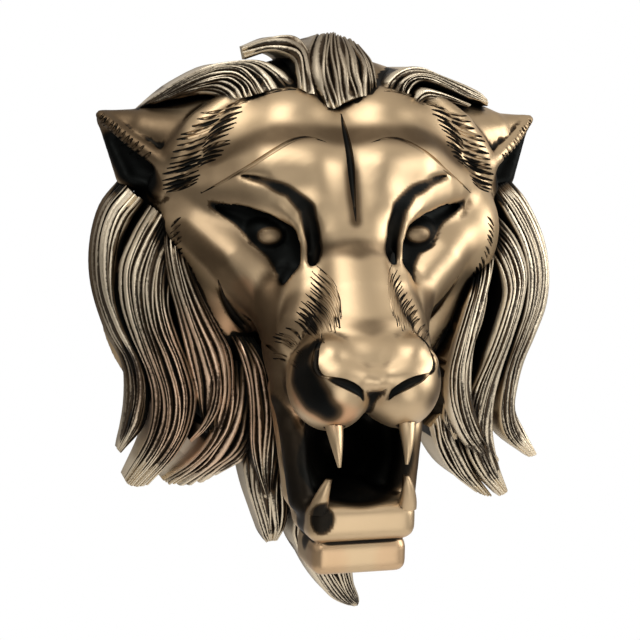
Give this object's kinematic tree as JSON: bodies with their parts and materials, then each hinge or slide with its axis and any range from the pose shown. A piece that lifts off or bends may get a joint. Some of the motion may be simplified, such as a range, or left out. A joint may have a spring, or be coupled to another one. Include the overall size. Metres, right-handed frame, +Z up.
{
  "type": "lion head wall mask",
  "caption": "Roaring lion head wall mask cast in aged brass, with flowing mane, open fanged mouth and a hollow, flat-rimmed back for hanging.",
  "frame": {"origin": "on the flat back rim that lies against the wall, midway between the two hanging holes", "axes": "+Z up along the face, -Y out of the wall towards the muzzle, +X to the viewer's right"},
  "size_m": [0.3012, 0.1386, 0.3604],
  "materials": {
    "brass": "aged cast brass, brushed satin on the face, dark patina in the recesses"
  },
  "bodies": {
    "root": {"lion_mask": "brass"}
  },
  "joints": []
}
